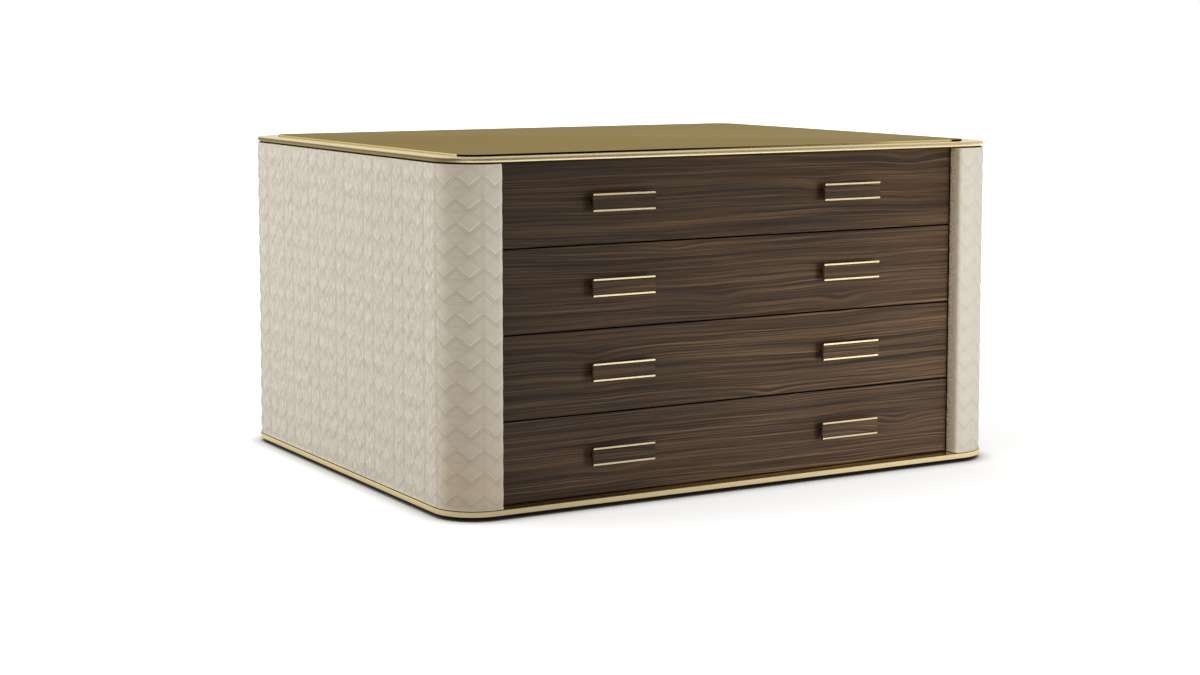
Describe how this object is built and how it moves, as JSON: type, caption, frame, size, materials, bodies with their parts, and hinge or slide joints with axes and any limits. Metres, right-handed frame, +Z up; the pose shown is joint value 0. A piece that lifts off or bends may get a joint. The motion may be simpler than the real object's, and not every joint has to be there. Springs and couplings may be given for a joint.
{
  "type": "closet island with drawers",
  "caption": "Low closet island with wide walnut drawers on full extension runners, quilted leather sides, rounded corners, brass bands and a bronze top.",
  "frame": {"origin": "middle of the footprint, on the floor under the plinth", "axes": "+X to the right along the drawers, +Y from the drawer fronts to the back, +Z up"},
  "size_m": [1.61, 1.296, 0.85],
  "materials": {
    "champagne_brass": "satin champagne brass",
    "bronze_plate": "smooth bronze tinted plate",
    "quilted_leather": "matte greige leather, diamond quilted",
    "walnut": "dark walnut veneer, matt lacquer, horizontal grain",
    "carcass_board": "dark stained board",
    "drawer_board": "oiled light wood",
    "runner_steel": "zinc plated steel",
    "black_lacquer": "black lacquered board"
  },
  "bodies": {
    "carcass": {"plinth": "black_lacquer", "base_band": "champagne_brass", "base_board": "carcass_board", "left_side": "carcass_board", "right_side": "carcass_board", "left_pad": "quilted_leather", "right_pad": "quilted_leather", "bay_back": "carcass_board", "back_panel": "walnut", "top_board": "carcass_board", "top_frame": "champagne_brass", "top_plate": "bronze_plate", "runner_1_outer_left": "runner_steel", "runner_1_outer_right": "runner_steel", "runner_2_outer_left": "runner_steel", "runner_2_outer_right": "runner_steel", "runner_3_outer_left": "runner_steel", "runner_3_outer_right": "runner_steel", "runner_4_outer_left": "runner_steel", "runner_4_outer_right": "runner_steel"},
    "drawer_1": {"drawer_1_front": "walnut", "drawer_1_box": "drawer_board", "drawer_1_pull_left": "champagne_brass", "drawer_1_pull_slip_left": "walnut", "runner_1_inner_left": "runner_steel", "drawer_1_pull_right": "champagne_brass", "drawer_1_pull_slip_right": "walnut", "runner_1_inner_right": "runner_steel"},
    "runner_1_middle": {"runner_1_middle_left": "runner_steel", "runner_1_middle_right": "runner_steel"},
    "drawer_2": {"drawer_2_front": "walnut", "drawer_2_box": "drawer_board", "drawer_2_pull_left": "champagne_brass", "drawer_2_pull_slip_left": "walnut", "runner_2_inner_left": "runner_steel", "drawer_2_pull_right": "champagne_brass", "drawer_2_pull_slip_right": "walnut", "runner_2_inner_right": "runner_steel"},
    "runner_2_middle": {"runner_2_middle_left": "runner_steel", "runner_2_middle_right": "runner_steel"},
    "drawer_3": {"drawer_3_front": "walnut", "drawer_3_box": "drawer_board", "drawer_3_pull_left": "champagne_brass", "drawer_3_pull_slip_left": "walnut", "runner_3_inner_left": "runner_steel", "drawer_3_pull_right": "champagne_brass", "drawer_3_pull_slip_right": "walnut", "runner_3_inner_right": "runner_steel"},
    "runner_3_middle": {"runner_3_middle_left": "runner_steel", "runner_3_middle_right": "runner_steel"},
    "drawer_4": {"drawer_4_front": "walnut", "drawer_4_box": "drawer_board", "drawer_4_pull_left": "champagne_brass", "drawer_4_pull_slip_left": "walnut", "runner_4_inner_left": "runner_steel", "drawer_4_pull_right": "champagne_brass", "drawer_4_pull_slip_right": "walnut", "runner_4_inner_right": "runner_steel"},
    "runner_4_middle": {"runner_4_middle_left": "runner_steel", "runner_4_middle_right": "runner_steel"}
  },
  "joints": [
    {"name": "drawer_1_slide", "type": "slide", "parent": "carcass", "child": "drawer_1", "axis": [0, -1, 0], "range_m": [0, 0.55]},
    {"name": "runner_1_slide", "type": "slide", "parent": "carcass", "child": "runner_1_middle", "axis": [0, -1, 0], "range_m": [0, 0.275]},
    {"name": "drawer_2_slide", "type": "slide", "parent": "carcass", "child": "drawer_2", "axis": [0, -1, 0], "range_m": [0, 0.55]},
    {"name": "runner_2_slide", "type": "slide", "parent": "carcass", "child": "runner_2_middle", "axis": [0, -1, 0], "range_m": [0, 0.275]},
    {"name": "drawer_3_slide", "type": "slide", "parent": "carcass", "child": "drawer_3", "axis": [0, -1, 0], "range_m": [0, 0.55]},
    {"name": "runner_3_slide", "type": "slide", "parent": "carcass", "child": "runner_3_middle", "axis": [0, -1, 0], "range_m": [0, 0.275]},
    {"name": "drawer_4_slide", "type": "slide", "parent": "carcass", "child": "drawer_4", "axis": [0, -1, 0], "range_m": [0, 0.55]},
    {"name": "runner_4_slide", "type": "slide", "parent": "carcass", "child": "runner_4_middle", "axis": [0, -1, 0], "range_m": [0, 0.275]}
  ],
  "couplings": [
    {"joint": "runner_1_slide", "follows": "drawer_1_slide", "ratio": 0.5},
    {"joint": "runner_2_slide", "follows": "drawer_2_slide", "ratio": 0.5},
    {"joint": "runner_3_slide", "follows": "drawer_3_slide", "ratio": 0.5},
    {"joint": "runner_4_slide", "follows": "drawer_4_slide", "ratio": 0.5}
  ]
}
